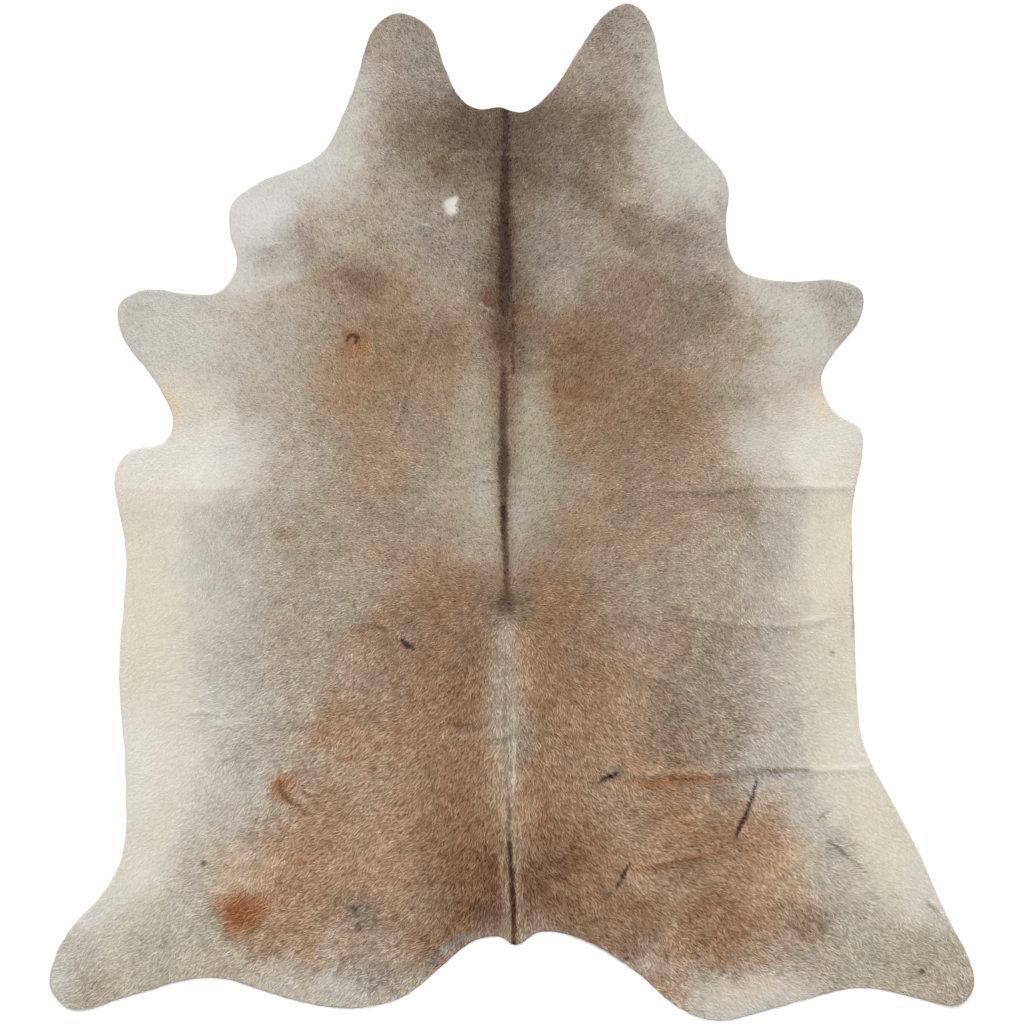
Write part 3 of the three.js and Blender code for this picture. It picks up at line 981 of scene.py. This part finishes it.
def blades(survey, rim, roots, rng):
    """Curved, tapering blades of hair: five points and three triangles each, and a colour for each point."""
    x, y = roots.T
    count = len(x)
    neck_share = soft_step((y - LONG_HAIR_TO_Y) / (LONG_HAIR_FROM_Y - LONG_HAIR_TO_Y))
    length = blend(RUMP_HAIR, NECK_HAIR, neck_share) * rng.uniform(*LENGTH_SPREAD, count)
    width = blend(RUMP_HAIR_WIDTH, NECK_HAIR_WIDTH, neck_share) * rng.uniform(*WIDTH_SPREAD, count)
    heading_x, heading_y = hair_heading(x, y)
    swing = np.radians(rng.normal(0, 1, count) * blend(RUMP_SWING, NECK_SWING, neck_share))
    along_x = heading_x * np.cos(swing) - heading_y * np.sin(swing)
    along_y = heading_x * np.sin(swing) + heading_y * np.cos(swing)
    # Hair at the rim is short, so that the cut edge stays clean.
    for _ in range(RIM_TRIMS):
        outside = ~inside(rim, x + along_x * length, y + along_y * length)
        length[outside] *= RIM_TRIM
    bend = rng.normal(0, HAIR_BEND, count)
    contrast = coat_contrast(coat_colour(x, y))
    roll = rng.normal(0, 1, count) * (LEAST_ROLL + ROLL_BY_CONTRAST * contrast)
    side = np.column_stack([-along_y * np.cos(roll), along_x * np.cos(roll), np.sin(roll)])
    pile = survey.pile(x, y)
    lift = table_value(HAIR_LIFT, contrast)
    # More hairs are darker than the coat than are lighter.
    luck = rng.normal(0, 1, count)
    tone = luck - DARK_SKEW * luck * luck + DARK_SKEW + CLUMPING * cloud(x, y, CLUMP_PITCH, 61, 2)
    tone = np.clip(tone, DARKEST_TONE, LIGHTEST_TONE)
    points = []
    colours = []
    for share, wide, rise, lighter in BLADE_STATIONS:
        run = length * share
        curve = bend * length * share * share
        px = x + along_x * run - along_y * curve
        py = y + along_y * run + along_x * curve
        pz = leather_top(survey, px, py) + pile * rise * lift * rng.uniform(*RISE_SPREAD, count)
        pz = np.maximum(pz, LOWEST_HAIR)
        centre = np.column_stack([px, py, pz])
        colour = shaded(coat_reflectance(coat_colour(px, py)), contrast * (tone + lighter))
        if wide:
            reach = side * (width * wide / 2)[:, None]
            points += [centre - reach, centre + reach]
            colours += [colour, colour]
        else:
            points.append(centre)
            colours.append(colour)
    points = np.stack(points, axis=1)
    first = np.arange(count)[:, None] * 5
    faces = np.hstack([first + corner for corner in BLADE_CORNERS]).reshape(-1, 3)
    colours = np.stack(colours, axis=1)
    return points.reshape(-1, 3), faces, colours.reshape(-1, 3)


def blade_map(count):
    """A small cell of the map for each blade."""
    across = math.ceil(math.sqrt(count))
    number = np.arange(count)
    cell = np.column_stack([number % across, number // across]) / across
    corner_of_point = np.array([(0.2, 0.15), (0.8, 0.15), (0.2, 0.5), (0.8, 0.5), (0.5, 0.85)]) / across
    return (cell[:, None, :] + corner_of_point[list(BLADE_CORNERS)][None, :, :]).reshape(-1, 2)


def coat_pieces(survey, rim, material):
    """The coat in four pieces: the left and right halves of the front and rear."""
    roots = hair_roots(rim)
    pieces = []
    for side, half in (("left", roots[roots[:, 0] < 0]), ("right", roots[roots[:, 0] >= 0])):
        half = half[np.argsort(half[:, 1])]
        middle = len(half) // 2
        for end, part in (("rear", half[:middle]), ("front", half[middle:])):
            if len(part) > MOST_HAIRS_A_PIECE:
                raise RuntimeError(f"too many hairs in one piece: {len(part)}")
            rng = np.random.default_rng(HAIR_SEED + len(pieces) + 1)
            points, faces, colours = blades(survey, rim, part, rng)
            piece = new_piece(f"hair_{end}_{side}", points, faces, [material])
            paint(piece, "coat", colours)
            lay_out(piece, blade_map(len(part)))
            pieces.append(piece)
    return pieces


# Materials.
class Nodes:
    """A short way to write a material's nodes."""

    def __init__(self, name):
        self.material = bpy.data.materials.new(name)
        self.material.use_nodes = True
        self.tree = self.material.node_tree
        self.shader = self.tree.nodes["Principled BSDF"]

    def add(self, kind, **settings):
        node = self.tree.nodes.new(kind)
        for name, value in settings.items():
            if name in node.inputs:
                node.inputs[name].default_value = value
            else:
                setattr(node, name, value)
        return node

    def link(self, source, target):
        self.tree.links.new(source, target)

    def noise(self, scale, detail=3.0, rough=0.6):
        """Noise over the object's own coordinates, from 0 to 1."""
        place = self.add("ShaderNodeTexCoord").outputs["Object"]
        node = self.add("ShaderNodeTexNoise", Scale=scale, Detail=detail, Roughness=rough)
        self.link(place, node.inputs["Vector"])
        return node.outputs["Fac"]

    def spread(self, source, low, high):
        """The middle half of some noise, stretched from low to high."""
        limits = {"From Min": 0.25, "From Max": 0.75, "To Min": low, "To Max": high}
        node = self.add("ShaderNodeMapRange", **limits)
        self.link(source, node.inputs["Value"])
        return node.outputs["Result"]

    def tinted(self, colour, amount):
        """A colour times an amount."""
        node = self.add("ShaderNodeVectorMath", operation="SCALE")
        self.link(colour, node.inputs[0])
        self.link(amount, node.inputs["Scale"])
        return node.outputs["Vector"]

    def bump(self, height, strength, distance):
        node = self.add("ShaderNodeBump", Strength=strength, Distance=distance)
        self.link(height, node.inputs["Height"])
        self.link(node.outputs["Normal"], self.shader.inputs["Normal"])

    def finish(self, specular):
        self.shader.inputs["Specular IOR Level"].default_value = specular
        return self.material


def hair_material():
    """Short dull hair, in the coat's own colours."""
    nodes = Nodes("short_hair")
    coat = nodes.add("ShaderNodeAttribute", attribute_name="coat").outputs["Color"]
    fleck = nodes.spread(nodes.noise(900, 2), 0.93, 1.07)
    nodes.link(nodes.tinted(coat, fleck), nodes.shader.inputs["Base Color"])
    nodes.link(nodes.spread(nodes.noise(60, 3), 0.5, 0.68), nodes.shader.inputs["Roughness"])
    return nodes.finish(0.1)


def skin_material():
    """The hide between the hairs: the coat's colour, painted darker as shade, with fine streaks of down."""
    nodes = Nodes("hair_side_skin")
    coat = nodes.add("ShaderNodeAttribute", attribute_name="coat").outputs["Color"]
    streak = nodes.noise(420, 4, 0.7)
    nodes.link(nodes.tinted(coat, nodes.spread(streak, 0.84, 1.04)), nodes.shader.inputs["Base Color"])
    nodes.link(nodes.spread(nodes.noise(150, 3), 0.6, 0.8), nodes.shader.inputs["Roughness"])
    nodes.bump(streak, 0.5, 0.0006)
    return nodes.finish(0.25)


def ramp_material(name, dark, light, scale, rough_low, rough_high, bump_scale, bump_distance):
    """Leather in two mixed colours, 0 to 255, with a fine nap."""
    nodes = Nodes(name)
    ramp = nodes.add("ShaderNodeValToRGB")
    ramp.color_ramp.elements[0].position = 0.3
    ramp.color_ramp.elements[1].position = 0.7
    ramp.color_ramp.elements[0].color = (*to_linear(np.array(dark)), 1)
    ramp.color_ramp.elements[1].color = (*to_linear(np.array(light)), 1)
    nodes.link(nodes.noise(scale, 5), ramp.inputs["Fac"])
    nodes.link(ramp.outputs["Color"], nodes.shader.inputs["Base Color"])
    nap = nodes.noise(bump_scale, 4, 0.7)
    nodes.link(nodes.spread(nap, rough_low, rough_high), nodes.shader.inputs["Roughness"])
    nodes.bump(nap, 0.6, bump_distance)
    return nodes.finish(0.25)


def cut_edge_material():
    return ramp_material("cut_leather_edge", (150, 132, 110), (206, 192, 170), 90, 0.6, 0.85, 900, 0.0004)


def suede_material():
    return ramp_material("suede_underside", (150, 140, 126), (188, 178, 162), 14, 0.85, 0.98, 1100, 0.0005)


# The floor, the light and the camera.
def add_floor():
    half = FLOOR_SIZE / 2
    corners = [(-half, -half, 0), (half, -half, 0), (half, half, 0), (-half, half, 0)]
    mesh = bpy.data.meshes.new("floor")
    mesh.from_pydata(corners, [], [(0, 1, 2, 3)])
    floor = bpy.data.objects.new("floor", mesh)
    bpy.context.scene.collection.objects.link(floor)
    nodes = Nodes("plain_floor")
    nodes.shader.inputs["Base Color"].default_value = (FLOOR_WHITE, FLOOR_WHITE, FLOOR_WHITE, 1)
    nodes.shader.inputs["Roughness"].default_value = 0.9
    mesh.materials.append(nodes.finish(0.1))


def add_light():
    world = bpy.data.worlds.new("studio")
    world.use_nodes = True
    world.node_tree.nodes["Background"].inputs["Color"].default_value = (1, 1, 1, 1)
    world.node_tree.nodes["Background"].inputs["Strength"].default_value = SKY_STRENGTH
    bpy.context.scene.world = world
    sun = bpy.data.lights.new("key", "SUN")
    sun.energy = SUN_STRENGTH
    sun.angle = math.radians(SUN_SOFTNESS)
    key = bpy.data.objects.new("key", sun)
    key.rotation_euler = (-math.radians(SUN_TILT), 0, 0)
    bpy.context.scene.collection.objects.link(key)


def add_camera():
    camera = bpy.data.cameras.new("camera")
    camera.lens = CAMERA_LENS
    camera.sensor_width = SENSOR_WIDTH
    holder = bpy.data.objects.new("camera", camera)
    holder.location = (0, 0, VIEW_WIDTH * CAMERA_LENS / SENSOR_WIDTH)
    bpy.context.scene.collection.objects.link(holder)
    bpy.context.scene.camera = holder
    bpy.context.scene.view_settings.view_transform = "Standard"


def main():
    points, triangles = solid_mesh("hide")
    survey = Survey(points, triangles)
    rim = smooth_rim(rim_of(points, triangles))
    sheet = leather_sheet(survey, rim, [skin_material(), cut_edge_material(), suede_material()])
    hair = coat_pieces(survey, rim, hair_material())
    for piece in [sheet, *hair]:
        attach(piece, "root")
    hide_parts("hide")
    add_floor()
    add_light()
    add_camera()


main()
